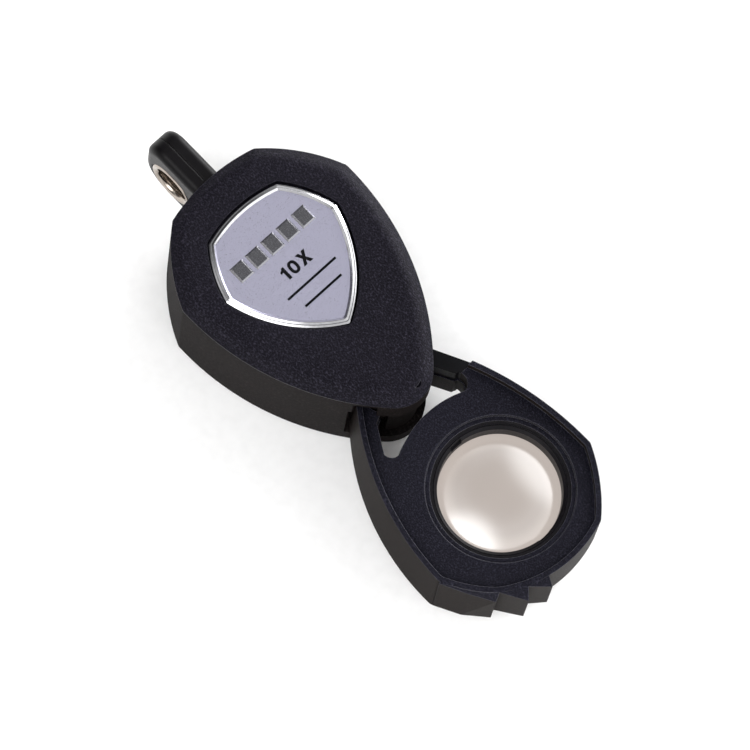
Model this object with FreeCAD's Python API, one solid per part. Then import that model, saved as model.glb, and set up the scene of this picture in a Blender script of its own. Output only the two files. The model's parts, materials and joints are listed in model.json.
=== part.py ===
import FreeCAD, Part
import math
import os

# Folding pocket loupe, millimetres. The hinge axis is the Z axis, Z = 0 is the resting plane,
# +X runs from the hinge out to the unfolded lens holder, and the closed case lies on -X.
V = FreeCAD.Vector

# ---- case plan (mirror pairs at +-Y) --------------------------------------------------
END_X, END_Y, END_SAG = -32.6, 7.02, 0.96        # corners of the wide end and its bow
SHO_X, SHO_Y, SHO_SAG = -23.14, 14.12, 0.74      # shoulder corners and the bow up to them
FLANK_R = 37.1                                   # long flank arcs
NOSE_X, TIP_R = 0.3, 4.9                         # nose centre and radius
CORNER_R = 1.0
# ---- case levels ----------------------------------------------------------------------
EDGE_BOT, EDGE_TOP = 0.85, 16.9                  # where the covers' bevels start
COVER_LAND = 0.2                                 # straight edge of each cover
BEVEL_H = 0.85
CROWN = [(0.0, 0.0), (1.0, 0.56), (1.3, 0.69), (1.6, 0.775), (1.9, 0.83), (2.2, BEVEL_H)]  # inset, rise
FLOOR_TOP, ROOF_BOT = 3.5, 12.9
H_TOTAL = EDGE_TOP + BEVEL_H
BODY_BOT, BODY_TOP = EDGE_BOT + COVER_LAND, EDGE_TOP - COVER_LAND
# ---- side wall and nose column --------------------------------------------------------
WALL_GAP = 0.2                                   # shut holder to wall
END_WALL_R = 32.45                               # inner face of the end wall about the hinge
END_WALL_Y = 2.6                                 # end wall stops here, teeth come out beyond
WALL_TIP_X = -0.4                                # side wall stops here
COLUMN_RI, COLUMN_RO, COLUMN_HALF = 3.15, 4.25, 45.0
# ---- holder plan, unfolded ------------------------------------------------------------
H_BOT, H_TOP = 3.65, 12.75                       # edges of the raised rims
H_PANEL, H_PANEL_LOW = 11.55, 4.85               # recessed panels above and below
RIM_W = 0.72
LEDGE = 0.2                                      # window walls stand in below the hinge plate
LENS_X, LENS_Y = 19.6, 0.5
RING_R = 13.35                                   # outer edge of the lens ring at the window
L1, L_MID, L_END = (22.98, -13.75), (10.6, -11.6), (-0.8, -5.2)          # free flank, top
L1_LOW, L_MID_LOW, L_END_LOW = (23.35, -14.55), (10.0, -12.35), (-0.8, -5.65)   # underneath
R1, R_MID, R_RIM = (23.1, 12.6), (14.2, 11.8), (5.4, 9.13)
R_HUB = (0.6, 6.7)
R2 = (31.2, 6.6)
TEETH = [  # (start on top, start underneath, tip, end, bow of the long face on top, underneath)
    ((23.3, -13.95), (23.55, -14.45), (29.77, -10.27), (29.25, -9.2), 0.12, 0.45),
    ((29.25, -9.2), (29.25, -9.2), (32.45, -7.15), (31.15, -6.0), 0.01, 0.01),
    ((31.15, -6.0), (31.15, -6.0), (33.15, -3.7), (31.85, -3.1), 0.01, 0.01),
]
TOOTH_DROP = 0.5                                 # top and underside fall away to the tip
HUB_R, CHANNEL_R = 2.9, 4.45
HUB_Z0 = 3.95
PLATE_Z0 = 8.65                                  # underside of the hinge plate
PLATE_X = 5.4
# ---- lens cell ------------------------------------------------------------------------
SEAT_R, CELL_R, COLLAR_R, BORE_R = 9.5, 8.9, 8.5, 7.95
CELL_TOP, CELL_BOT, COLLAR_IN_Z = 11.15, 5.2, 10.6
SEAT_CHAMFER = 0.1                               # top edge of the step round the cell
LENS_R, LENS_Z = 8.15, 7.6                       # glass radius, mid-plane height
CURVE_OUT, CURVE_IN = 22.0, 20.0                 # outer and cemented surface radii
CT_MID, CT_OUT = 3.8, 0.6                        # centre thicknesses
GLASS_R = 7.85                                   # clear opening of the collar at the glass
NOTCH_W = 1.8
# ---- hinge ----------------------------------------------------------------------------
PIN_R, BUSH_RI, BUSH_RO = 1.45, 1.5, 2.2
PIN_TOP = 14.9
RIVETS = ((3.09, 6.61), (0.4, 4.15))               # hinge plate to holder
RIVET_R, RIVET_HEAD_R, RIVET_SEAT, RIVET_TOP = 0.45, 0.7, 5.35, 10.8
SCREW_HEAD_R, SCREW_R, SEAT_Z = 2.2, 0.75, 2.1
# ---- badge ----------------------------------------------------------------------------
BADGE_END, BADGE_SHO, BADGE_NOSE = (-27.3, 5.92), (-20.13, 9.575), (-8.49, 1.36)
BADGE_SAGS = (0.93, 0.48, 1.38)
BADGE_Z0, BADGE_LOW, BADGE_TOP = 16.95, 17.45, 17.73
# ---- lanyard lug ----------------------------------------------------------------------
LUG_X, LUG_HALF, LUG_Z0, LUG_Z1 = -42.6, 2.1, 4.5, 15.1
LUG_TOP_R, LUG_LOW_R, LUG_EDGE_R = 2.8, 4.4, 1.0
EYE_X, EYE_Z, EYE_RI, EYE_RO, EYE_FLANGE, EYE_RISE = -37.8, 8.9, 2.5, 2.8, 3.5, 0.5
EYE_CREST, EYE_SEAT = 3.08, 0.38                 # radius of the flange crest, depth of its seat


# ---- plan geometry --------------------------------------------------------------------
def v2(a, b):
    return (b[0] - a[0], b[1] - a[1])


def circle_by_sag(a, b, sag):
    """Circle through a and b whose arc bows by sag to the left of a-to-b."""
    dx, dy = v2(a, b)
    chord = math.hypot(dx, dy)
    r = (chord * chord / 4 + sag * sag) / (2 * sag)
    nx, ny = -dy / chord, dx / chord
    return ((a[0] + b[0]) / 2 - nx * (r - sag), (a[1] + b[1]) / 2 - ny * (r - sag), r)


def meet(c1, r1, c2, r2, near):
    """The crossing of two circles that lies nearer to a point."""
    dx, dy = v2(c1, c2)
    d = math.hypot(dx, dy)
    a = (r1 * r1 - r2 * r2 + d * d) / (2 * d)
    h = math.sqrt(max(r1 * r1 - a * a, 0.0))
    mx, my = c1[0] + a * dx / d, c1[1] + a * dy / d
    both = [(mx - h * dy / d, my + h * dx / d), (mx + h * dy / d, my - h * dx / d)]
    return min(both, key=lambda p: math.hypot(p[0] - near[0], p[1] - near[1]))


def push(c, p, r):
    d = math.hypot(p[0] - c[0], p[1] - c[1])
    return (c[0] + (p[0] - c[0]) * r / d, c[1] + (p[1] - c[1]) * r / d)


def arc3(a, m, b, z):
    return Part.Arc(V(a[0], a[1], z), V(m[0], m[1], z), V(b[0], b[1], z)).toShape()


def line(a, b, z):
    return Part.makeLine(V(a[0], a[1], z), V(b[0], b[1], z))


def on_circle(c, a, b):
    """Middle of the short arc from a to b."""
    m = ((a[0] + b[0]) / 2, (a[1] + b[1]) / 2)
    return push(c[:2], m, c[2])


def arc_loop(circles, corners, inset, radius, z):
    """Closed wire of convex arcs, each shrunk by inset, with rounded corners."""
    n = len(circles)
    shrunk = [(c[0], c[1], c[2] - inset) for c in circles]
    joints = []
    for i in range(n):
        a, b = shrunk[i], shrunk[(i + 1) % n]
        r = radius[i]
        centre = meet(a[:2], a[2] - r, b[:2], b[2] - r, corners[i])
        joints.append((push(a[:2], centre, a[2]), push(centre, corners[i], r), push(b[:2], centre, b[2])))
    edges = []
    for i in range(n):
        start, end = joints[i - 1][2], joints[i][0]
        edges.append(arc3(start, on_circle(shrunk[i], start, end), end, z))
        edges.append(arc3(joints[i][0], joints[i][1], joints[i][2], z))
    return Part.Wire(edges)


def prism(wire, height):
    return Part.Face(wire).extrude(V(0, 0, height))


def poly(points, z0, z1):
    pts = [V(p[0], p[1], z0) for p in points]
    return Part.Face(Part.makePolygon(pts + [pts[0]])).extrude(V(0, 0, z1 - z0))


def disc(r, z0, z1, x=0.0, y=0.0):
    return Part.makeCylinder(r, z1 - z0, V(x, y, z0))


def tube(ro, ri, z0, z1, x=0.0, y=0.0):
    return disc(ro, z0, z1, x, y).cut(disc(ri, z0 - 1, z1 + 1, x, y))


def cone(r0, r1, z0, z1, x=0.0, y=0.0):
    return Part.makeCone(r0, r1, z1 - z0, V(x, y, z0))


def turned(profile, x=0.0, y=0.0):
    """Solid of revolution about a vertical axis from (radius, z) points."""
    pts = [V(x + r, y, z) for r, z in profile]
    face = Part.Face(Part.makePolygon(pts + [pts[0]]))
    return face.revolve(V(x, y, 0), V(0, 0, 1), 360)


def nodes_out(shapes):
    os.makedirs("parts", exist_ok=True)
    for name, shape in shapes.items():
        shape = shape.removeSplitter()
        if shape.ShapeType != "Solid" and len(shape.Solids) == 1:
            shape = shape.Solids[0]
        shape.exportStep("parts/%s.step" % name)


# ---- the five-cornered case outline ---------------------------------------------------
A, E = (END_X, END_Y), (END_X, -END_Y)
B, D = (SHO_X, SHO_Y), (SHO_X, -SHO_Y)
flank_c = meet(B, FLANK_R, (NOSE_X, 0), FLANK_R - TIP_R, (-22.0, -23.0))
CIRCLES = [
    circle_by_sag(E, A, END_SAG),
    circle_by_sag(A, B, SHO_SAG),
    (flank_c[0], flank_c[1], FLANK_R),
    (flank_c[0], -flank_c[1], FLANK_R),
    circle_by_sag(D, E, SHO_SAG),
]
NOSE = (NOSE_X + TIP_R, 0.0)
CORNERS = [A, B, NOSE, D, E]


def case_wire(z, inset=0.0, corner=CORNER_R):
    return arc_loop(CIRCLES, CORNERS, inset, [corner, corner, TIP_R - inset, corner, corner], z)


def cover(z_edge, up):
    """Grained cover plate with a straight edge and a bevel that rounds into the flat."""
    s = 1 if up else -1
    wires = [
        case_wire(z_edge - s * COVER_LAND),
        case_wire(z_edge),
    ]
    plate = Part.makeLoft(wires, True, True)
    for (i0, h0), (i1, h1) in zip(CROWN, CROWN[1:]):
        low = case_wire(z_edge + s * h0, i0, CORNER_R - 0.2 * i0)
        high = case_wire(z_edge + s * h1, i1, CORNER_R - 0.2 * i1)
        plate = plate.fuse(Part.makeLoft([low, high], True, True))
    return plate


# ---- holder plan ----------------------------------------------------------------------
def holder_outline(z, low=False):
    l1, l_mid, l_end = (L1_LOW, L_MID_LOW, L_END_LOW) if low else (L1, L_MID, L_END)
    root = TEETH[0][3]
    return Part.Wire([
        arc3(l_end, l_mid, l1, z),
        arc3(l1, (26.45, -11.75), root, z),
        arc3(root, (32.27, 0.3), R2, z),
        arc3(R2, (27.5, 10.0), R1, z),
        arc3(R1, R_MID, R_RIM, z),
        line(R_RIM, R_HUB, z),
        line(R_HUB, (-1.6, 4.1), z),
        line((-1.6, 4.1), l_end, z),
    ])


def tooth(start, start_low, tip, end, bow, bow_low):
    """Ratchet-like grip tooth whose top and underside slope away to its tip."""
    def ring(z, drop, first, sag_out):
        dx, dy = v2(first, tip)
        length = math.hypot(dx, dy)
        mid = ((first[0] + tip[0]) / 2 + dy / length * sag_out,
               (first[1] + tip[1]) / 2 - dx / length * sag_out)
        return [V(q[0], q[1], z - drop * f) for q, f in ((first, 0.0), (mid, 0.5), (tip, 1.0), (end, 0.0))]

    top = ring(H_TOP, TOOTH_DROP, start, bow)
    bot = ring(H_BOT, -TOOTH_DROP, start_low, bow_low)
    loops = [[w[k] for k in t] for w in (top, bot) for t in ((0, 1, 2), (0, 2, 3))]
    for i in range(4):
        j = (i + 1) % 4
        loops += [[bot[i], bot[j], top[j]], [bot[i], top[j], top[i]]]
    return Part.Solid(Part.Shell([Part.Face(Part.makePolygon(w + [w[0]])) for w in loops]))


def teeth_rack():
    """The grip teeth and the strip of rim that carries them."""
    roots = [TEETH[0][0]] + [t[3] for t in TEETH]
    inner = [push((LENS_X, LENS_Y), p, math.hypot(p[0] - LENS_X, p[1] - LENS_Y) - RIM_W) for p in roots]
    rack = poly(roots + inner[::-1], H_BOT, H_TOP)
    for t in TEETH:
        rack = rack.fuse(tooth(*t))
    return rack


def window(z0, z1, inset=0.0):
    """Opening between hinge and lens ring, with the pocket beside the hinge plate."""
    ring_mid = (LENS_X - RING_R, LENS_Y)
    ring_a = push((LENS_X, LENS_Y), (7.15, 6.1), RING_R)
    ring_b = push((LENS_X, LENS_Y), (7.6, -5.2), RING_R)
    wire = Part.Wire([
        line((1.9, 4.99), (5.04, 6.69), z0),
        line((5.04, 6.69), (5.15, 7.1), z0),
        arc3((5.15, 7.1), (6.7, 7.1), ring_a, z0),
        arc3(ring_a, ring_mid, ring_b, z0),
        arc3(ring_b, (7.5, -6.75), (6.5, -7.2), z0),
        line((6.5, -7.2), (2.9, -5.05), z0),
        line((2.9, -5.05), (0.5, 0.0), z0),
        line((0.5, 0.0), (1.9, 4.99), z0),
    ])
    return prism(wire.makeOffset2D(-inset) if inset else wire, z1 - z0)


def arm_root(z0, z1):
    """The hub disc and the arm root that joins it to the arm on the open side."""
    root = poly([(1.2, 2.5), (1.9, 4.99), (2.6, 5.6), R_HUB, (-1.6, 4.1), (-1.75, 2.25)], z0, z1)
    return disc(HUB_R, z0, z1).fuse(root)


def arm_plan(z0, z1):
    """Everything of the hinge arm on the hub side of the rim's end."""
    arm = poly([(1.4, 3.6), (5.3, 6.3), (PLATE_X, 6.4), R_RIM, R_HUB, (-1.6, 4.1)], z0, z1)
    arm = arm.cut(disc(CHANNEL_R, z0 - 1, z1 + 1))
    arm = arm.cut(window(z0 - 1, z1 + 1, LEDGE if z1 < H_PANEL else 0.0))
    return arm.fuse(arm_root(max(z0, HUB_Z0), z1))


shapes = {}

# ---- case body: roof, floor, side wall and nose column in one casting ------------------
roof = prism(case_wire(ROOF_BOT), BODY_TOP - ROOF_BOT)
floor = prism(case_wire(BODY_BOT), FLOOR_TOP - BODY_BOT)
shell = prism(case_wire(FLOOR_TOP), ROOF_BOT - FLOOR_TOP)
r2c, r1c, rmc, rrc, rhc = [(-p[0], -p[1]) for p in (R2, R1, R_MID, R_RIM, R_HUB)]


def out_from(p, d):
    """Shut-holder corner moved out from the lens centre by the wall gap."""
    return push((-LENS_X, -LENS_Y), p, math.hypot(p[0] + LENS_X, p[1] + LENS_Y) + d)


a_end = math.radians(180 + 12.1)
e_in = (END_WALL_R * math.cos(a_end), END_WALL_R * math.sin(a_end))
e_start = (-math.sqrt(END_WALL_R ** 2 - END_WALL_Y ** 2), END_WALL_Y)
z = FLOOR_TOP
hollow = Part.Wire([
    arc3(e_start, (-END_WALL_R * math.cos(math.radians(4.0)), -END_WALL_R * math.sin(math.radians(4.0))),
         e_in, z),
    arc3(e_in, out_from((-27.5, -10.0), WALL_GAP), out_from(r1c, WALL_GAP), z),
    arc3(out_from(r1c, WALL_GAP), out_from(rmc, WALL_GAP), out_from(rrc, WALL_GAP), z),
    line(out_from(rrc, WALL_GAP), (WALL_TIP_X, rhc[1] - 0.15), z),
    line((WALL_TIP_X, rhc[1] - 0.15), (WALL_TIP_X, -9.0), z),
    line((WALL_TIP_X, -9.0), (8.0, -9.0), z),
    line((8.0, -9.0), (8.0, 17.0), z),
    line((8.0, 17.0), (-36.0, 17.0), z),
    line((-36.0, 17.0), (-36.0, END_WALL_Y), z),
    line((-36.0, END_WALL_Y), e_start, z),
])
shell = shell.cut(prism(hollow, ROOF_BOT - FLOOR_TOP))
wedge_pts = [(0, 0)] + [(9 * math.cos(math.radians(a)), 9 * math.sin(math.radians(a)))
                        for a in (-COLUMN_HALF, -20, 0, 20, COLUMN_HALF)]
column = tube(COLUMN_RO, COLUMN_RI, FLOOR_TOP, ROOF_BOT).common(poly(wedge_pts, FLOOR_TOP, ROOF_BOT))
body = roof.fuse([floor, shell, column])
# undercut in the nose skirt beside the side wall
body = body.cut(poly([(0.3, -7.6), (3.0, -6.2), (2.25, -4.5), (1.2, -3.5), (-0.6, -5.0)],
                     ROOF_BOT - 1, 16.15))
# hinge bores, screw counterbore, tenon pocket for the lug
body = body.cut(disc(PIN_R, ROOF_BOT - 1, PIN_TOP))
body = body.cut(disc(PIN_R, BODY_BOT - 1, FLOOR_TOP + 1))
body = body.cut(disc(SCREW_HEAD_R + 0.1, BODY_BOT - 1, SEAT_Z))
TENON_Y, TENON_Z0, TENON_Z1 = 1.1, 6.0, 11.8
body = body.cut(Part.makeBox(4.0, 2 * TENON_Y, TENON_Z1 - TENON_Z0, V(-35.0, -TENON_Y, TENON_Z0)))
shapes["case_body"] = body

# ---- covers ---------------------------------------------------------------------------
top = cover(EDGE_TOP, True)
badge_circles = [
    circle_by_sag((BADGE_END[0], -BADGE_END[1]), BADGE_END, BADGE_SAGS[0]),
    circle_by_sag(BADGE_END, BADGE_SHO, BADGE_SAGS[1]),
    circle_by_sag(BADGE_SHO, BADGE_NOSE, BADGE_SAGS[2]),
    circle_by_sag((BADGE_NOSE[0], -BADGE_NOSE[1]), (BADGE_SHO[0], -BADGE_SHO[1]), BADGE_SAGS[2]),
    circle_by_sag((BADGE_SHO[0], -BADGE_SHO[1]), (BADGE_END[0], -BADGE_END[1]), BADGE_SAGS[1]),
]
badge_corners = [BADGE_END, BADGE_SHO, (-7.9, 0.0), (BADGE_SHO[0], -BADGE_SHO[1]),
                 (BADGE_END[0], -BADGE_END[1])]


def badge_wire(z, inset, corner=0.5, nose=0.6):
    return arc_loop(badge_circles, badge_corners, inset, [corner, corner, nose, corner, corner], z)


top = top.cut(prism(badge_wire(BADGE_Z0 - 0.15, -0.14, 0.64, 0.74), 2.0))
# moulding gate pip near the nose
top = top.cut(cone(0.25, 0.65, 17.05, 17.6, 3.55, 0.75))
shapes["top_cover"] = top
bottom = cover(EDGE_BOT, False)
shapes["bottom_cover"] = bottom

# ---- badge: adhesive pad, satin plate, bevelled bezel ----------------------------------
pad_z = BADGE_Z0 - 0.15
shapes["badge_adhesive"] = prism(badge_wire(pad_z, 0.25), 0.15)
shapes["badge_plate"] = prism(badge_wire(BADGE_Z0, 1.0, 0.4, 0.5), BADGE_LOW - BADGE_Z0)
bezel = Part.makeLoft([badge_wire(BADGE_Z0, 0.0), badge_wire(BADGE_LOW, 0.0)], True, True)
bezel = bezel.fuse(Part.makeLoft([badge_wire(BADGE_LOW, 0.0), badge_wire(BADGE_LOW + 0.15, 0.3)], True, True))
bezel = bezel.fuse(Part.makeLoft([badge_wire(BADGE_LOW + 0.15, 0.42), badge_wire(BADGE_TOP, 0.66)],
                                 True, True))
bezel = bezel.cut(prism(badge_wire(BADGE_Z0 - 1, 1.0, 0.4, 0.5), 3))
bezel = bezel.cut(Part.makeLoft([badge_wire(BADGE_LOW - 0.02, 1.0, 0.4, 0.5),
                                 badge_wire(BADGE_TOP + 0.01, 0.72, 0.4, 0.5)], True, True))
groove_z = BADGE_LOW - 0.12
groove = prism(badge_wire(groove_z, 0.2), 0.6).cut(prism(badge_wire(groove_z, 0.44), 0.6))
shapes["badge_bezel"] = bezel.cut(groove)

# ---- lanyard lug with tenon, and its eyelet --------------------------------------------
def vy(x, zz):
    return V(x, -LUG_HALF, zz)


def lug_corner(r, zz, up):
    """Quarter arc of the lug's end, its radius r, ending on the level zz."""
    k, s_ = r * (1 - math.sqrt(0.5)), (-1 if up else 1)
    return Part.Arc(vy(LUG_X + r, zz), vy(LUG_X + k, zz + s_ * k), vy(LUG_X, zz + s_ * r)).toShape()


side = Part.Wire([
    Part.makeLine(vy(-30.0, LUG_Z0), vy(LUG_X + LUG_LOW_R, LUG_Z0)),
    lug_corner(LUG_LOW_R, LUG_Z0, False),
    Part.makeLine(vy(LUG_X, LUG_Z0 + LUG_LOW_R), vy(LUG_X, LUG_Z1 - LUG_TOP_R)),
    lug_corner(LUG_TOP_R, LUG_Z1, True),
    Part.makeLine(vy(LUG_X + LUG_TOP_R, LUG_Z1), vy(-30.0, LUG_Z1)),
    Part.makeLine(vy(-30.0, LUG_Z1), vy(-30.0, LUG_Z0)),
])
lug = Part.Face(side).extrude(V(0, 2 * LUG_HALF, 0))
rim_edges = [e for e in lug.Edges
             if abs(e.BoundBox.YMax - e.BoundBox.YMin) < 1e-6 and e.BoundBox.XMin < -30.5]
lug = lug.makeFillet(LUG_EDGE_R, rim_edges)
lug = lug.cut(prism(case_wire(LUG_Z0 - 1), LUG_Z1 - LUG_Z0 + 2))
tenon = Part.makeBox(2.0, 2 * TENON_Y, TENON_Z1 - TENON_Z0, V(-34.5, -TENON_Y, TENON_Z0))
tenon = tenon.cut(disc(END_WALL_R, TENON_Z0 - 1, TENON_Z1 + 1))
lug = lug.fuse(tenon)
hole = Part.makeCylinder(EYE_RO, 8, V(EYE_X, -4, EYE_Z), V(0, 1, 0))
hole = hole.fuse(Part.makeCylinder(EYE_FLANGE, 2 + EYE_SEAT, V(EYE_X, -LUG_HALF - 2, EYE_Z), V(0, 1, 0)))
lug = lug.cut(hole)
# moulding line round the edge of the lug
groove = 0.12
line_cut = Part.Face(side).extrude(V(0, groove, 0)).translated(V(0, LUG_HALF - groove / 2, 0))
inner_side = side.makeOffset2D(-0.12)
line_core = Part.Face(inner_side).extrude(V(0, 1.0, 0)).translated(V(0, LUG_HALF - 0.5, 0))
lug = lug.cut(line_cut.cut(line_core).cut(Part.makeBox(10, 6, 20, V(-34.2, -3, 0))))
shapes["lanyard_lug"] = lug


def about_y(profile):
    """Solid turned about the eyelet axis from edges given as (radius, y) points and arcs."""
    edges = []
    for item in profile:
        pts = [V(EYE_X + r_, y_, EYE_Z) for r_, y_ in item]
        edges.append(Part.makeLine(*pts) if len(pts) == 2 else Part.Arc(*pts).toShape())
    return Part.Face(Part.Wire(edges)).revolve(V(EYE_X, 0, EYE_Z), V(0, 1, 0), 360)


yf = EYE_SEAT - LUG_HALF
yc = yf - EYE_RISE
shapes["lug_eyelet"] = about_y([
    ((EYE_RI, LUG_HALF + 0.05), (EYE_RI, yf + 0.35)),
    ((EYE_RI, yf + 0.35), (EYE_RI + 0.16, yc + 0.2), (EYE_CREST, yc)),
    ((EYE_CREST, yc), (EYE_FLANGE - 0.12, yc + 0.17), (EYE_FLANGE, yf)),
    ((EYE_FLANGE, yf), (EYE_RO, yf)),
    ((EYE_RO, yf), (EYE_RO, LUG_HALF + 0.05)),
    ((EYE_RO, LUG_HALF + 0.05), (EYE_RI, LUG_HALF + 0.05)),
])
yb = LUG_HALF
shapes["lug_eyelet_washer"] = about_y([
    ((EYE_RO + 0.02, yb), (EYE_FLANGE, yb)),
    ((EYE_FLANGE, yb), (EYE_FLANGE - 0.12, yb + EYE_RISE - 0.17), (EYE_CREST, yb + EYE_RISE)),
    ((EYE_CREST, yb + EYE_RISE), (EYE_RI + 0.16, yb + EYE_RISE - 0.2), (EYE_RI, yb + 0.15)),
    ((EYE_RI, yb + 0.15), (EYE_RI, yb + 0.06)),
    ((EYE_RI, yb + 0.06), (EYE_RO + 0.02, yb + 0.06)),
    ((EYE_RO + 0.02, yb + 0.06), (EYE_RO + 0.02, yb)),
])

# ---- hinge hardware fixed in the case --------------------------------------------------
pin = disc(PIN_R, SEAT_Z, PIN_TOP).cut(disc(SCREW_R, 1.0, 7.0))
shapes["pivot_pin"] = pin
screw = disc(SCREW_HEAD_R, 1.15, SEAT_Z).fuse(disc(SCREW_R, SEAT_Z, 6.5))
screw = screw.cut(Part.makeBox(6, 0.6, 0.45, V(-3, -0.3, 1.15)))
shapes["pivot_screw"] = screw
shapes["thrust_washer_lower"] = tube(2.7, PIN_R, FLOOR_TOP, 3.9)
shapes["thrust_washer_upper"] = tube(2.7, PIN_R, 12.5, ROOF_BOT)
shapes["disc_spring"] = turned([(1.6, 12.2), (1.6, 12.45), (2.7, 11.85), (2.7, 11.6)])

# ---- lens holder frame -----------------------------------------------------------------
frame = Part.makeLoft([holder_outline(H_BOT, True), holder_outline(H_TOP)], True, True)
for p_low, p_top, rad in ((L1_LOW, L1, 0.7), (R1, R1, 0.7), (R2, R2, 0.35)):
    mid = V((p_low[0] + p_top[0]) / 2, (p_low[1] + p_top[1]) / 2, (H_BOT + H_TOP) / 2)
    frame = frame.makeFillet(rad, [e for e in frame.Edges if e.CenterOfMass.distanceToPoint(mid) < 0.1])
frame = frame.fuse(teeth_rack())
rim_inner = holder_outline(H_PANEL).makeOffset2D(-RIM_W)
frame = frame.cut(prism(rim_inner, 3.0))
rim_inner = holder_outline(H_PANEL_LOW - 3.0, True).makeOffset2D(-RIM_W)
frame = frame.cut(prism(rim_inner, 3.0))
for z0, z1 in ((H_PANEL, H_TOP + 1), (H_BOT - 1, H_PANEL_LOW)):
    frame = frame.cut(poly([(-6, 0), (-6, 12), (PLATE_X, 12), (PLATE_X, 0)], z0, z1))
frame = frame.cut(window(PLATE_Z0, H_TOP + 1))
frame = frame.cut(window(H_BOT - 1, H_TOP + 1, LEDGE))
frame = frame.cut(disc(CHANNEL_R, H_BOT - 1, H_TOP + 1))
frame = frame.cut(poly([(-6, -4.2), (-6, 12), (-1.0, 12), (R_HUB[0], R_HUB[1]), (0, 0), (-0.8, -4.2)],
                       H_BOT - 1, H_TOP + 1))
frame = frame.cut(poly([(-3.0, 0.0), (-3.0, 9.5), (PLATE_X, 9.5), (PLATE_X, 6.0), (2.0, 0.0)],
                       PLATE_Z0, H_TOP + 1))
frame = frame.fuse(disc(HUB_R, HUB_Z0, PLATE_Z0))
frame = frame.fuse(arm_plan(H_BOT, PLATE_Z0))
frame = frame.cut(disc(BUSH_RO, H_BOT - 1, H_TOP + 1))
frame = frame.cut(disc(CELL_R, H_BOT - 1, H_TOP + 1, LENS_X, LENS_Y))
frame = frame.cut(disc(SEAT_R, CELL_TOP, H_TOP + 1, LENS_X, LENS_Y))
frame = frame.cut(cone(SEAT_R, SEAT_R + SEAT_CHAMFER, H_PANEL - SEAT_CHAMFER, H_PANEL, LENS_X, LENS_Y))
frame = frame.cut(cone(SEAT_R, CELL_R, H_PANEL_LOW, CELL_BOT, LENS_X, LENS_Y))
for sx, sy in RIVETS:
    frame = frame.cut(disc(RIVET_R, H_BOT - 1, PLATE_Z0 + 1, sx, sy))
    frame = frame.cut(disc(RIVET_HEAD_R, H_BOT - 1, RIVET_SEAT, sx, sy))
shapes["holder_frame"] = frame

plate = arm_plan(PLATE_Z0, H_PANEL).cut(disc(BUSH_RO, PLATE_Z0 - 1, H_PANEL + 1))
for sx, sy in RIVETS:
    plate = plate.cut(disc(RIVET_R, PLATE_Z0 - 1, RIVET_TOP, sx, sy))
shapes["hinge_plate"] = plate
for i, (sx, sy) in enumerate(RIVETS, 1):
    rivet = disc(RIVET_R, RIVET_SEAT, RIVET_TOP, sx, sy)
    rivet = rivet.fuse(disc(RIVET_HEAD_R, H_PANEL_LOW, RIVET_SEAT, sx, sy))
    shapes["hinge_plate_rivet_%d" % i] = rivet
shapes["pivot_bush"] = tube(BUSH_RO, BUSH_RI, HUB_Z0, H_PANEL)

# ---- lens cell: barrel, collar, baffle, cemented triplet ---------------------------------
def sag(radius, rr):
    return radius - math.sqrt(radius ** 2 - rr ** 2)


half = CT_MID / 2
edge_top = LENS_Z + half + CT_OUT - sag(CURVE_OUT, LENS_R)
edge_low = 2 * LENS_Z - edge_top
lip = sag(CURVE_OUT, LENS_R) - sag(CURVE_OUT, GLASS_R) + 0.01
shapes["lens_barrel"] = turned([
    (LENS_R, edge_low), (LENS_R, edge_top), (COLLAR_R, edge_top), (COLLAR_R, CELL_TOP - 0.3),
    (CELL_R - 0.1, CELL_TOP - 0.3), (CELL_R, CELL_TOP - 0.2), (CELL_R, CELL_BOT),
    (8.6, CELL_BOT), (GLASS_R, 6.0), (GLASS_R, edge_low - lip),
], LENS_X, LENS_Y)
collar = turned([
    (GLASS_R, edge_top + lip + 0.02), (BORE_R, COLLAR_IN_Z - 0.1), (COLLAR_R - 0.12, CELL_TOP - 0.25),
    (COLLAR_R - 0.02, CELL_TOP - 0.35), (COLLAR_R, CELL_TOP - 0.45), (COLLAR_R, edge_top + 0.02),
    (LENS_R, edge_top + 0.02),
], LENS_X, LENS_Y)
for sgn in (-1, 1):
    collar = collar.cut(Part.makeBox(1.0, NOTCH_W, 2.0, V(
        LENS_X + sgn * (BORE_R - 0.2) - 0.5, LENS_Y - NOTCH_W / 2, COLLAR_IN_Z - 0.9)))
shapes["lens_collar"] = collar


def cap_arc(radius, apex_z, up, rr):
    """Edge from the axis out to radius rr along a sphere bulging up or down."""
    s = 1 if up else -1
    pts = []
    for f in (0.0, 0.5, 1.0):
        q = rr * f
        pts.append(V(LENS_X + q, LENS_Y, apex_z - s * sag(radius, q)))
    return Part.Arc(*pts).toShape(), pts[0], pts[2]


def lens(z_hi, r_hi, up_hi, z_lo, r_lo, up_lo):
    """Lens element between two spherical faces given by apex height, radius and bulge."""
    e1, a1, b1 = cap_arc(r_hi, z_hi, up_hi, LENS_R)
    e2, a2, b2 = cap_arc(r_lo, z_lo, up_lo, LENS_R)
    wire = Part.Wire([e1, Part.makeLine(b1, b2), e2, Part.makeLine(a2, a1)])
    return Part.Face(wire).revolve(V(LENS_X, LENS_Y, 0), V(0, 0, 1), 360)


shapes["lens_upper"] = lens(LENS_Z + half + CT_OUT, CURVE_OUT, True, LENS_Z + half, CURVE_IN, True)
shapes["lens_middle"] = lens(LENS_Z + half, CURVE_IN, True, LENS_Z - half, CURVE_IN, False)
shapes["lens_lower"] = lens(LENS_Z - half, CURVE_IN, False, LENS_Z - half - CT_OUT, CURVE_OUT, False)

nodes_out(shapes)
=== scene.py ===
"""Folding pocket loupe: finishes, badge marks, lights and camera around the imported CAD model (metres)."""
import json
import math

import bmesh
import bpy
from mathutils import Matrix, Vector


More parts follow.
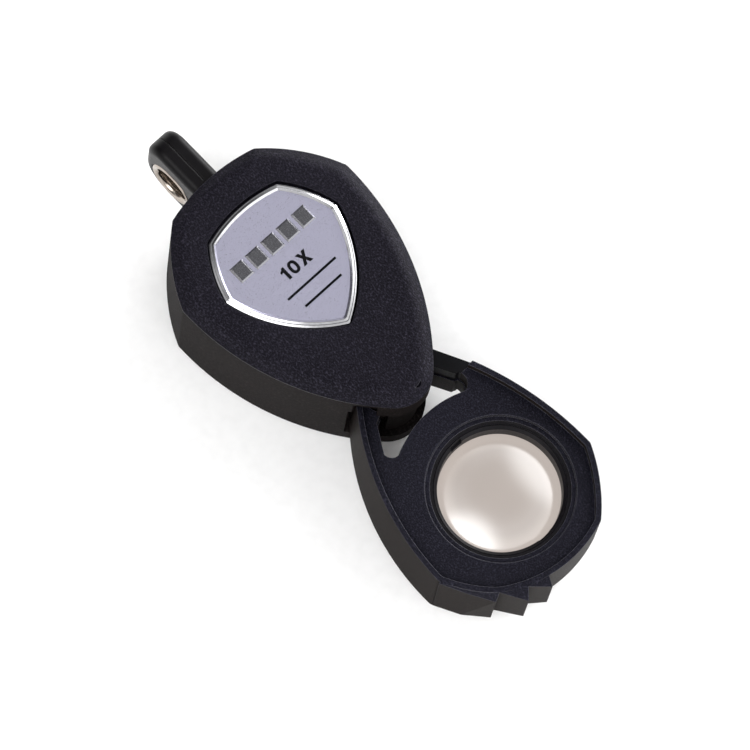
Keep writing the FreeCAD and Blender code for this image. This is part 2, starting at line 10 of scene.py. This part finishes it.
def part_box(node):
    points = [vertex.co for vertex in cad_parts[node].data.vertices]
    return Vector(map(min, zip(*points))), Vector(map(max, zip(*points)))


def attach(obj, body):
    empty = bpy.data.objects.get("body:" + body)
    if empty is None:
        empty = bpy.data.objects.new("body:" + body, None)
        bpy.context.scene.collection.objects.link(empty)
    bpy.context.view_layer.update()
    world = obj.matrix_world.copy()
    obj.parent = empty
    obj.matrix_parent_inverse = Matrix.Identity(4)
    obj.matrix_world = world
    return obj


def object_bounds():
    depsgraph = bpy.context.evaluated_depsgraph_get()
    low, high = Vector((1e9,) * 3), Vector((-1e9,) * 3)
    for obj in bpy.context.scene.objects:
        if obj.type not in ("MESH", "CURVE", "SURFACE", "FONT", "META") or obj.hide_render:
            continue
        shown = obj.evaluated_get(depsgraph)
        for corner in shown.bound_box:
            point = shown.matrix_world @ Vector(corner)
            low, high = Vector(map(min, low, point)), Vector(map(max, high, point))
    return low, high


MM = 0.001

# ---- camera: where it stands, what it looks at, which way is up in the picture ------------
CAMERA_AT = Vector((0.11967, -0.18376, 0.76915))
CAMERA_FORWARD = Vector((-0.15393, 0.23182, -0.96050))
CAMERA_UP = Vector((-0.70777, 0.65245, 0.27089))
CAMERA_LENS_MM, SENSOR_MM = 301.9, 36.0
CLIP_NEAR, CLIP_FAR = 0.01, 20.0

# ---- badge marks --------------------------------------------------------------------------
MARK_HEIGHT, PRINT_RAISED = 1.8 * MM, 0.02 * MM
MARK_AT = (-17.85 * MM, 0.25 * MM)
RELIEF_X, RELIEF_LENGTH, RELIEF_HEIGHT, RELIEF_RAISED = -21.8 * MM, 13.2 * MM, 2.4 * MM, 0.20 * MM
RELIEF_BLOCKS, RELIEF_GAP, RELIEF_CHAMFER = 5, 0.5 * MM, 0.22 * MM
RELIEF_FOOT = 0.02 * MM                                     # sunk into the plate, and straight above it
RULES = ((-15.2 * MM, 8.2 * MM), (-13.1 * MM, 6.2 * MM))    # place along X, length along Y
RULES_Y = 0.5 * MM
RULE_WIDTH = 0.32 * MM
CORNERS = ((-1, -1), (1, -1), (1, 1), (-1, 1))

# Figures of the mark, in units of its height: across, then up from the foot of the line.
ONE = [(0.19, 0.0), (0.44, 0.0), (0.44, 1.0), (0.26, 1.0), (0.18, 0.88), (0.0, 0.80), (0.0, 0.61), (0.19, 0.68)]
CROSS = [(0.0, 0.0), (0.29, 0.0), (0.43, 0.30), (0.57, 0.0), (0.86, 0.0), (0.57, 0.5),
         (0.86, 1.0), (0.57, 1.0), (0.43, 0.70), (0.29, 1.0), (0.0, 1.0), (0.29, 0.5)]
ONE_START, ZERO_MID, CROSS_START = -1.22, -0.20, 0.36
ZERO_OUTER, ZERO_INNER = (0.37, 0.51), (0.145, 0.30)        # half width, half height
ZERO_POWER, ZERO_STEPS = 0.8, 28                            # a power below 1 squares the oval a little

# ---- black plastic ------------------------------------------------------------------------
PLASTIC_IOR = 1.22                                          # low, so that the black stays deep
PLASTIC_TINT = (0.86, 0.84, 1.0, 1.0)                       # cool reflections
GRAIN_DRAWN = (0.6, 1.0, 1.0)                               # grain drawn out along X
GRAIN_CELLS, GRAIN_NOISE = 0.45, 0.75                       # their shares in the height
CLOUD_MM, CLOUD_SHARE = 14.0, 0.10                          # slow drift towards the paler colour
SPECK_COLOUR = (0.11, 0.11, 0.13)
# Painted highlights along edges: their pale colour, how far in from an edge they reach, and their share on
# walls.
EDGE_HIGHLIGHT_COLOUR, EDGE_HIGHLIGHT_REACH_MM, EDGE_HIGHLIGHT_ON_WALLS = (0.13, 0.13, 0.15), 0.10, 0.12
RECESS_REACH_MM, RECESS_SHADED_GLOSS = 1.2, 0.25                   # painted shade: recesses lose most of their gloss
BEVEL_SAMPLES, RECESS_SAMPLES = 4, 8

# ---- lens and its cell --------------------------------------------------------------------
LATHE_PITCH_MM, LATHE_DEPTH_MM = 0.12, 0.004
GLASS_IOR, COATING_IOR, COATING_ROUGH = 1.62, 2.2, 0.20
PAINTED_GLOW_INSIDE, PAINTED_GLOW_OUTSIDE = 5.2 * MM, 7.4 * MM              # radii between which the painted glow rises

# ---- studio -------------------------------------------------------------------------------
FLOOR_HALF = 2.0
LAMP_SIZE, LAMP_AIM = 0.9, (0, 0, 0.01)
DOME_LEVEL = 0.95
# Soft boxes and dark flags on the dome: direction, cosine where it is full, cosine where it ends, strength.
DOME_PATCHES = [
    ((0.0, 0.82, 0.57), 0.975, 0.83, 2.0),                  # behind the part
    ((0.05, -0.52, 0.855), 0.985, 0.87, 3.6),               # high in front
    ((-0.15, -0.85, 0.50), 0.96, 0.84, -0.70),              # lower in front
    ((0.95, 0.25, 0.18), 0.96, 0.70, 1.2),                  # low beyond the lens holder
    ((-0.154, 0.232, 0.96), 0.975, 0.85, -0.62),            # overhead
    ((-0.92, -0.12, 0.36), 0.95, 0.72, -0.86),              # low beyond the lug
]


# ---- node helpers -------------------------------------------------------------------------
def new_material(name):
    """An empty node material, its tree, Principled shader and object coordinates."""
    mat = bpy.data.materials.new(name)
    mat.use_nodes = True
    tree = mat.node_tree
    tree.nodes.clear()
    out = tree.nodes.new("ShaderNodeOutputMaterial")
    shader = tree.nodes.new("ShaderNodeBsdfPrincipled")
    tree.links.new(shader.outputs[0], out.inputs["Surface"])
    coords = tree.nodes.new("ShaderNodeTexCoord")
    return mat, tree, shader, coords.outputs["Object"]


def noise(tree, coords, size_mm, detail=2.0, rough=0.5):
    node = tree.nodes.new("ShaderNodeTexNoise")
    node.inputs["Scale"].default_value = 1.0 / (size_mm * MM)
    node.inputs["Detail"].default_value = detail
    node.inputs["Roughness"].default_value = rough
    tree.links.new(coords, node.inputs["Vector"])
    return node.outputs["Fac"]


def cells(tree, coords, size_mm):
    node = tree.nodes.new("ShaderNodeTexVoronoi")
    node.feature = "SMOOTH_F1"
    node.inputs["Scale"].default_value = 1.0 / (size_mm * MM)
    node.inputs["Smoothness"].default_value = 0.6
    tree.links.new(coords, node.inputs["Vector"])
    return node.outputs["Distance"]


def ramp(tree, fac, stops):
    node = tree.nodes.new("ShaderNodeValToRGB")
    elements = node.color_ramp.elements
    while len(elements) < len(stops):
        elements.new(0.5)
    for element, (place, colour) in zip(elements, stops):
        element.position = place
        element.color = (*colour, 1.0)
    tree.links.new(fac, node.inputs["Fac"])
    return node.outputs["Color"]


def grey_ramp(tree, fac, low, high):
    """Ramp between two greys, each given as (place, value)."""
    return ramp(tree, fac, [(place, (value, value, value)) for place, value in (low, high)])


def feed(tree, socket, value):
    """Set a socket to a number or a vector, or link another node's output to it."""
    if isinstance(value, (int, float, tuple, Vector)):
        socket.default_value = value
    else:
        tree.links.new(value, socket)


def math_node(tree, op, a, b):
    node = tree.nodes.new("ShaderNodeMath")
    node.operation = op
    feed(tree, node.inputs[0], a)
    feed(tree, node.inputs[1], b)
    return node.outputs[0]


def vector_node(tree, op, a, b=None):
    node = tree.nodes.new("ShaderNodeVectorMath")
    node.operation = op
    feed(tree, node.inputs[0], a)
    if b is not None:
        feed(tree, node.inputs[1], b)
    return node.outputs["Value" if op in ("DOT_PRODUCT", "LENGTH") else "Vector"]


def eased(tree, value, start, end, low, high, curve):
    """Goes from low at start to high at end along a smooth curve."""
    node = tree.nodes.new("ShaderNodeMapRange")
    node.interpolation_type = curve
    for socket, number in (("From Min", start), ("From Max", end), ("To Min", low), ("To Max", high)):
        node.inputs[socket].default_value = number
    tree.links.new(value, node.inputs["Value"])
    return node.outputs[0]


def mix_colour(tree, fac, a, b):
    node = tree.nodes.new("ShaderNodeMix")
    node.data_type = "RGBA"
    for socket, value in ((node.inputs[0], fac), (node.inputs[6], a), (node.inputs[7], b)):
        feed(tree, socket, (*value, 1.0) if isinstance(value, tuple) else value)
    return node.outputs[2]


def rounded(tree, radius_mm):
    """The normal, with edges rounded over the given radius."""
    node = tree.nodes.new("ShaderNodeBevel")
    node.samples = BEVEL_SAMPLES
    node.inputs["Radius"].default_value = radius_mm * MM
    return node.outputs[0]


def bumped(tree, shader, height, distance_mm, round_mm=0.0, strength=1.0):
    """Bump from a height field, over edges rounded by the given radius."""
    bump = tree.nodes.new("ShaderNodeBump")
    bump.inputs["Strength"].default_value = strength
    bump.inputs["Distance"].default_value = distance_mm * MM
    tree.links.new(height, bump.inputs["Height"])
    if round_mm:
        tree.links.new(rounded(tree, round_mm), bump.inputs["Normal"])
    tree.links.new(bump.outputs[0], shader.inputs["Normal"])


def true_normal(tree):
    return tree.nodes.new("ShaderNodeNewGeometry").outputs["True Normal"]


def facing_up(tree):
    """1 on faces that look upward, 0 on walls and undersides."""
    split = tree.nodes.new("ShaderNodeSeparateXYZ")
    tree.links.new(true_normal(tree), split.inputs[0])
    return grey_ramp(tree, split.outputs["Z"], (0.35, 0.0), (0.65, 1.0))


def edge_highlight_mask(tree, reach_mm):
    """Mask for painted edge highlights: 1 along edges, 0 away from them, where a rounded normal leaves the
    face's own.
    """
    agree = vector_node(tree, "DOT_PRODUCT", rounded(tree, reach_mm), true_normal(tree))
    return grey_ramp(tree, agree, (0.86, 1.0), (0.985, 0.0))


def painted_recess_shade(tree, reach_mm, least):
    """Painted shade: falls from 1 in the open to the given least in corners and narrow recesses."""
    node = tree.nodes.new("ShaderNodeAmbientOcclusion")
    node.samples = RECESS_SAMPLES
    node.inputs["Distance"].default_value = reach_mm * MM
    return grey_ramp(tree, node.outputs["AO"], (0.35, least), (0.9, 1.0))


# ---- materials ----------------------------------------------------------------------------
def middle(a, b, t):
    return tuple(p + (q - p) * t for p, q in zip(a, b))


def times(colour, factor):
    return tuple(c * factor for c in colour)


def grained_plastic(name, dark, light, grain_mm, depth_mm, rough, round_mm, gloss, wall_gloss, edge_highlight_share=0.0,
                    fleck=0.0, walls=None):
    """Moulded plastic with an eroded grain: cells broken up by noise, paler on the high spots as painted glints
    on the grain.

    Walls can have a pair of paler, warmer colours that paint the front light falling on them, and their gloss
    is a share of the gloss on top, which paints shade on them.
    """
    mat, tree, shader, coords = new_material(name)
    drawn = tree.nodes.new("ShaderNodeMapping")
    drawn.inputs["Scale"].default_value = GRAIN_DRAWN
    tree.links.new(coords, drawn.inputs["Vector"])
    grain = cells(tree, drawn.outputs[0], grain_mm)
    fine = noise(tree, drawn.outputs[0], grain_mm * 0.5, 4.0, 0.7)
    height = math_node(tree, "ADD", math_node(tree, "MULTIPLY", grain, GRAIN_CELLS),
                       math_node(tree, "MULTIPLY", fine, GRAIN_NOISE))
    # Painted glints: the grain's high spots are mixed towards the paler colour.
    base = ramp(tree, height, [(0.50, dark), (0.68, middle(dark, light, 0.3)), (0.84, light)])
    cloud = noise(tree, coords, CLOUD_MM)
    base = mix_colour(tree, grey_ramp(tree, cloud, (0.3, 0.0), (0.7, CLOUD_SHARE)), base, light)
    # Painted light: walls get paler, warmer colours, as if lit from the front.
    if walls:
        lit_wall = ramp(tree, height, [(0.30, walls[0]), (0.72, walls[1])])
        base = mix_colour(tree, facing_up(tree), lit_wall, base)
    if fleck:
        speck = noise(tree, coords, grain_mm * 1.1, 1.0)
        base = mix_colour(tree, grey_ramp(tree, speck, (0.60, 0.0), (0.78, fleck)), base, SPECK_COLOUR)
    # Painted highlights: along edges, mostly on top faces, the colour is mixed towards a pale grey as if the
    # edges caught the light.
    if edge_highlight_share:
        painted_edge_highlight = math_node(tree, "MULTIPLY", edge_highlight_mask(tree, EDGE_HIGHLIGHT_REACH_MM), edge_highlight_share)
        on_walls = grey_ramp(tree, facing_up(tree), (0.0, EDGE_HIGHLIGHT_ON_WALLS), (1.0, 1.0))
        base = mix_colour(tree, math_node(tree, "MULTIPLY", painted_edge_highlight, on_walls), base, EDGE_HIGHLIGHT_COLOUR)
    tree.links.new(base, shader.inputs["Base Color"])
    roughness = grey_ramp(tree, fine, (0.2, rough - 0.08), (0.8, rough + 0.1))
    tree.links.new(roughness, shader.inputs["Roughness"])
    shader.inputs["IOR"].default_value = PLASTIC_IOR
    # Painted shade: walls keep only a share of the gloss on top, which darkens them.
    level = grey_ramp(tree, facing_up(tree), (0.0, gloss * wall_gloss), (1.0, gloss))
    # Painted shade: gloss is cut in corners and recesses found by ambient occlusion.
    level = math_node(tree, "MULTIPLY", level, painted_recess_shade(tree, RECESS_REACH_MM, RECESS_SHADED_GLOSS))
    tree.links.new(level, shader.inputs["Specular IOR Level"])
    shader.inputs["Specular Tint"].default_value = PLASTIC_TINT
    bumped(tree, shader, height, depth_mm, round_mm)
    return mat


def satin_plastic(name, colour, rough, round_mm=0.0, depth_mm=0.006, gloss=0.12):
    """Smooth moulded plastic with faint patches and a fine tooth."""
    mat, tree, shader, coords = new_material(name)
    fine = noise(tree, coords, 0.25, 4.0, 0.6)
    patch = noise(tree, coords, 4.0)
    tree.links.new(ramp(tree, patch, [(0.35, colour), (0.7, times(colour, 1.5))]), shader.inputs["Base Color"])
    roughness = grey_ramp(tree, fine, (0.2, rough - 0.05), (0.8, rough + 0.08))
    tree.links.new(roughness, shader.inputs["Roughness"])
    shader.inputs["IOR"].default_value = PLASTIC_IOR
    shader.inputs["Specular IOR Level"].default_value = gloss
    bumped(tree, shader, fine, depth_mm, round_mm)
    return mat


def metal(name, colour, rough, round_mm, depth_mm, size_mm, spread=0.06):
    """Plain metal whose tone and roughness vary a little over the given size."""
    mat, tree, shader, coords = new_material(name)
    shader.inputs["Metallic"].default_value = 1.0
    fine = noise(tree, coords, size_mm, 3.0, 0.6)
    grain = noise(tree, coords, size_mm * 0.6)
    tone = ramp(tree, grain, [(0.35, times(colour, 0.88)), (0.65, colour)])
    tree.links.new(tone, shader.inputs["Base Color"])
    roughness = grey_ramp(tree, fine, (0.25, max(0.02, rough - spread / 2)), (0.75, rough + spread))
    tree.links.new(roughness, shader.inputs["Roughness"])
    bumped(tree, shader, fine, depth_mm, round_mm)
    return mat


def turned_black(name, colour, rough, gloss, round_mm, axis):
    """Black anodised aluminium with fine lathe rings about a vertical axis."""
    mat, tree, shader, coords = new_material(name)
    rings = tree.nodes.new("ShaderNodeTexWave")
    rings.wave_type, rings.rings_direction = "RINGS", "Z"
    rings.inputs["Scale"].default_value = 0.05 / (LATHE_PITCH_MM * MM)
    rings.inputs["Distortion"].default_value = 0.4
    tree.links.new(vector_node(tree, "SUBTRACT", coords, axis), rings.inputs["Vector"])
    fine = noise(tree, coords, 0.3, 3.0)
    tree.links.new(ramp(tree, fine, [(0.35, colour), (0.75, times(colour, 2.2))]), shader.inputs["Base Color"])
    tree.links.new(grey_ramp(tree, fine, (0.3, rough), (0.8, rough + 0.12)), shader.inputs["Roughness"])
    shader.inputs["IOR"].default_value = PLASTIC_IOR
    shader.inputs["Specular IOR Level"].default_value = gloss
    bumped(tree, shader, rings.outputs["Fac"], LATHE_DEPTH_MM, round_mm, 0.6)
    return mat


def coated_glass(name, colour, clear, glow, painted_glow_middle, painted_glow_rim, axis):
    """Cemented lens: soft reflections over a warm body, with a painted glow that rises towards the rim.

    The painted glow is light the lens emits itself: it stands for the light that a lens gathers from the pale
    paper under it, and it is stronger at the rim, where the dark cell would shade the glass.
    """
    mat, tree, shader, coords = new_material(name)
    cloud = noise(tree, coords, 6.0, 1.0)
    body = ramp(tree, cloud, [(0.3, times(colour, 0.96)), (0.7, colour)])
    tree.links.new(body, shader.inputs["Base Color"])
    polish = noise(tree, coords, 1.2)
    tree.links.new(grey_ramp(tree, polish, (0.3, 0.16), (0.7, 0.20)), shader.inputs["Roughness"])
    shader.inputs["Transmission Weight"].default_value = clear
    shader.inputs["IOR"].default_value = GLASS_IOR
    # Painted glow: the lens emits light of its own, stronger towards the rim.
    shader.inputs["Emission Color"].default_value = (*glow, 1.0)
    flat = vector_node(tree, "MULTIPLY", vector_node(tree, "SUBTRACT", coords, axis), (1.0, 1.0, 0.0))
    strength = eased(tree, vector_node(tree, "LENGTH", flat), PAINTED_GLOW_INSIDE, PAINTED_GLOW_OUTSIDE,
                     painted_glow_middle, painted_glow_rim, "SMOOTHSTEP")
    tree.links.new(strength, shader.inputs["Emission Strength"])
    shader.inputs["Coat Weight"].default_value = 1.0
    shader.inputs["Coat IOR"].default_value = COATING_IOR
    shader.inputs["Coat Roughness"].default_value = COATING_ROUGH
    return mat


def floor_material():
    mat, tree, shader, coords = new_material("floor_paper")
    tooth = noise(tree, coords, 1.5, 3.0)
    tree.links.new(grey_ramp(tree, tooth, (0.3, 0.92), (0.7, 0.96)), shader.inputs["Base Color"])
    shader.inputs["Roughness"].default_value = 0.9
    shader.inputs["Specular IOR Level"].default_value = 0.1
    bumped(tree, shader, tooth, 0.01, strength=0.3)
    return mat


# ---- badge marks --------------------------------------------------------------------------
def add_mesh(name, bm):
    bmesh.ops.recalc_face_normals(bm, faces=bm.faces)
    mesh = bpy.data.meshes.new(name)
    bm.to_mesh(mesh)
    bm.free()
    obj = bpy.data.objects.new(name, mesh)
    bpy.context.scene.collection.objects.link(obj)
    return obj


def skin(bm, loops, closed=False):
    """Faces between equal loops of points, capped at both ends unless the loops form a ring."""
    verts = [[bm.verts.new(p) for p in loop] for loop in loops]
    count = len(verts[0])
    pairs = list(zip(verts, verts[1:])) + ([(verts[-1], verts[0])] if closed else [])
    for low, high in pairs:
        for i in range(count):
            j = (i + 1) % count
            bm.faces.new((low[i], low[j], high[j], high[i]))
    if not closed:
        bm.faces.new(list(reversed(verts[0])))
        bm.faces.new(verts[-1])


def rectangle(x, y, half_x, half_y, z):
    return [(x + sx * half_x, y + sy * half_y, z) for sx, sy in CORNERS]


def magnification_mark(top):
    """The magnification as thin raised print: reads along +Y, its top towards the lug."""
    low, high = top - PRINT_RAISED, top + PRINT_RAISED

    def place(u, v, z):
        return (MARK_AT[0] - (v - 0.5) * MARK_HEIGHT, MARK_AT[1] + u * MARK_HEIGHT, z)

    def oval(halves, z):
        loop = []
        for i in range(ZERO_STEPS):
            angle = 2 * math.pi * i / ZERO_STEPS
            u, v = (half * math.copysign(abs(side) ** ZERO_POWER, side)
                    for half, side in zip(halves, (math.cos(angle), math.sin(angle))))
            loop.append(place(ZERO_MID + u, 0.5 + v, z))
        return loop

    bm = bmesh.new()
    for outline, start in ((ONE, ONE_START), (CROSS, CROSS_START)):
        skin(bm, [[place(start + u, v, z) for u, v in outline] for z in (low, high)])
    skin(bm, [oval(ZERO_OUTER, low), oval(ZERO_OUTER, high), oval(ZERO_INNER, high), oval(ZERO_INNER, low)],
         closed=True)
    return add_mesh("magnification_mark", bm)


def badge_relief(top):
    """A row of plain blocks with chamfered tops, side by side along Y."""
    bm = bmesh.new()
    pitch = RELIEF_LENGTH / RELIEF_BLOCKS
    half_w, half_h = (pitch - RELIEF_GAP) / 2, RELIEF_HEIGHT / 2
    levels = ((0.0, -RELIEF_FOOT), (0.0, RELIEF_FOOT), (RELIEF_CHAMFER, RELIEF_RAISED))
    for k in range(RELIEF_BLOCKS):
        mid = (k - (RELIEF_BLOCKS - 1) / 2) * pitch
        skin(bm, [rectangle(RELIEF_X, mid, half_h - inset, half_w - inset, top + rise)
                  for inset, rise in levels])
    return add_mesh("badge_relief", bm)


def badge_rules(top):
    """Two thin printed rules under the magnification mark."""
    bm = bmesh.new()
    for x, length in RULES:
        skin(bm, [rectangle(x, RULES_Y, RULE_WIDTH / 2, length / 2, z)
                  for z in (top - PRINT_RAISED, top + PRINT_RAISED)])
    return add_mesh("badge_rules", bm)


def dress(obj, material):
    """Make the given material the only one on an object's mesh."""
    obj.data.materials.clear()
    obj.data.materials.append(material)


def finish_piece(obj, body, material):
    dress(obj, material)
    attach(obj, body)


# ---- lights, floor, camera ----------------------------------------------------------------
def area_light(name, at, power, colour=(1, 1, 1)):
    data = bpy.data.lights.new(name, "AREA")
    data.shape, data.size, data.energy, data.color = "DISK", LAMP_SIZE, power, colour
    light = bpy.data.objects.new(name, data)
    light.location = at
    light.rotation_euler = (Vector(LAMP_AIM) - Vector(at)).to_track_quat("-Z", "Y").to_euler()
    bpy.context.scene.collection.objects.link(light)


def make_floor(z):
    mesh = bpy.data.meshes.new("floor")
    mesh.from_pydata(rectangle(0.0, 0.0, FLOOR_HALF, FLOOR_HALF, z), [], [(0, 1, 2, 3)])
    mesh.materials.append(floor_material())
    floor = bpy.data.objects.new("floor", mesh)
    bpy.context.scene.collection.objects.link(floor)


def make_camera():
    data = bpy.data.cameras.new("camera")
    data.lens, data.sensor_width = CAMERA_LENS_MM, SENSOR_MM
    data.clip_start, data.clip_end = CLIP_NEAR, CLIP_FAR
    camera = bpy.data.objects.new("camera", data)
    back = -CAMERA_FORWARD.normalized()
    right = CAMERA_UP.cross(back).normalized()
    up = back.cross(right)
    camera.matrix_world = Matrix.Translation(CAMERA_AT) @ Matrix((right, up, back)).transposed().to_4x4()
    bpy.context.scene.collection.objects.link(camera)
    bpy.context.scene.camera = camera


def make_world():
    """An even pale studio dome with soft-edged bright and dark patches."""
    world = bpy.data.worlds.new("studio")
    bpy.context.scene.world = world
    world.use_nodes = True
    tree = world.node_tree
    back = tree.nodes["Background"]
    coords = tree.nodes.new("ShaderNodeTexCoord").outputs["Generated"]
    patches = []
    for direction, full, outer, strength in DOME_PATCHES:
        toward = vector_node(tree, "DOT_PRODUCT", coords, Vector(direction).normalized())
        patches.append(eased(tree, toward, outer, full, 0.0, strength, "SMOOTHERSTEP"))
    total = patches[0]
    for more in patches[1:] + [DOME_LEVEL]:
        total = math_node(tree, "ADD", total, more)
    back.inputs["Color"].default_value = (1.0, 1.0, 1.0, 1.0)
    tree.links.new(total, back.inputs["Strength"])


# ---- the model ----------------------------------------------------------------------------
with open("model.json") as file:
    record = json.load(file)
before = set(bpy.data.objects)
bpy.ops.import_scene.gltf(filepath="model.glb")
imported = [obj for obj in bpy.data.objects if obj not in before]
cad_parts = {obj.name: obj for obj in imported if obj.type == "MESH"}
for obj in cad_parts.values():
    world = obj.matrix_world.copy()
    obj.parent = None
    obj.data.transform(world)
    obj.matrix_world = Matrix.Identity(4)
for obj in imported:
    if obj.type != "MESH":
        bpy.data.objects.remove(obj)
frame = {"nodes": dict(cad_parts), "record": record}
cad_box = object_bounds()

lens_low, lens_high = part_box("lens_upper")
lens_mid = (lens_low + lens_high) / 2
lens_axis = (lens_mid.x, lens_mid.y, 0.0)

FINISHES = {
    "case_grain": grained_plastic(
        "case_grain", dark=(0.0004, 0.0003, 0.0012), light=(0.0290, 0.0265, 0.0390), grain_mm=0.17,
        depth_mm=0.060, rough=0.38, round_mm=0.25, gloss=0.36, wall_gloss=1.0, edge_highlight_share=0.30),
    "case_side": grained_plastic(
        "case_side", dark=(0.0046, 0.0036, 0.0034), light=(0.0280, 0.0232, 0.0225), grain_mm=0.20,
        depth_mm=0.010, rough=0.60, round_mm=0.12, gloss=0.20, wall_gloss=0.6),
    "holder_black": grained_plastic(
        "holder_black", dark=(0.0011, 0.0011, 0.0024), light=(0.0270, 0.0265, 0.0400), grain_mm=0.14,
        depth_mm=0.012, rough=0.42, round_mm=0.12, gloss=0.40, wall_gloss=0.15, edge_highlight_share=0.9, fleck=0.10,
        # Paler, warmer colours on the walls: painted front light.
        walls=((0.0028, 0.0021, 0.0019), (0.0180, 0.0146, 0.0134))),
    "lug_black": satin_plastic("lug_black", (0.0024, 0.0020, 0.0026), 0.36, 0.25, 0.008, 0.55),
    "hinge_black": satin_plastic("hinge_black", (0.0026, 0.0026, 0.0034), 0.42, 0.1, 0.008, 0.35),
    "washer": satin_plastic("washer", (0.030, 0.029, 0.028), 0.5, 0.05, gloss=0.5),
    "adhesive": satin_plastic("adhesive", (0.010, 0.010, 0.010), 0.8),
    "badge_satin": metal("badge_satin", (0.63, 0.62, 0.78), 0.30, 0.0, 0.004, 0.10, spread=0.12),
    "badge_bright": metal("badge_bright", (0.55, 0.55, 0.57), 0.08, 0.03, 0.0006, 0.8),
    "eyelet_bright": metal("eyelet_bright", (0.42, 0.37, 0.325), 0.16, 0.0, 0.0008, 0.6),
    "hinge_steel": metal("hinge_steel", (0.50, 0.50, 0.51), 0.28, 0.05, 0.002, 0.4),
    "bush_brass": metal("bush_brass", (0.70, 0.52, 0.26), 0.25, 0.05, 0.002, 0.4),
    "cell_black": turned_black("cell_black", (0.0030, 0.0026, 0.0036), 0.34, 0.6, 0.08, lens_axis),
    # The lens carries a painted glow that stands for light from the paper under it.
    "lens_glass": coated_glass("lens_glass", (0.12, 0.100, 0.088), clear=0.12, glow=(0.80, 0.715, 0.66),
                               painted_glow_middle=0.43, painted_glow_rim=0.64, axis=lens_axis),
}
for part in frame["record"]["subparts"]:
    dress(frame["nodes"][part["node"]], FINISHES[part["material_slot"]])

plate_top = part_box("badge_plate")[1].z
print_black = satin_plastic("print_black", (0.004, 0.004, 0.005), 0.5)
relief_grey = metal("relief_grey", (0.24, 0.24, 0.26), 0.22, 0.03, 0.002, 0.15, spread=0.10)
finish_piece(magnification_mark(plate_top), "case", print_black)
finish_piece(badge_rules(plate_top), "case", print_black)
finish_piece(badge_relief(plate_top), "case", relief_grey)

make_floor(cad_box[0][2])
make_world()
area_light("key", (-0.20, 1.20, 0.25), 16.0)
area_light("front", (0.10, -1.10, 0.75), 3.0, (1.0, 0.97, 0.94))
make_camera()
bpy.context.scene.view_settings.view_transform = "Standard"
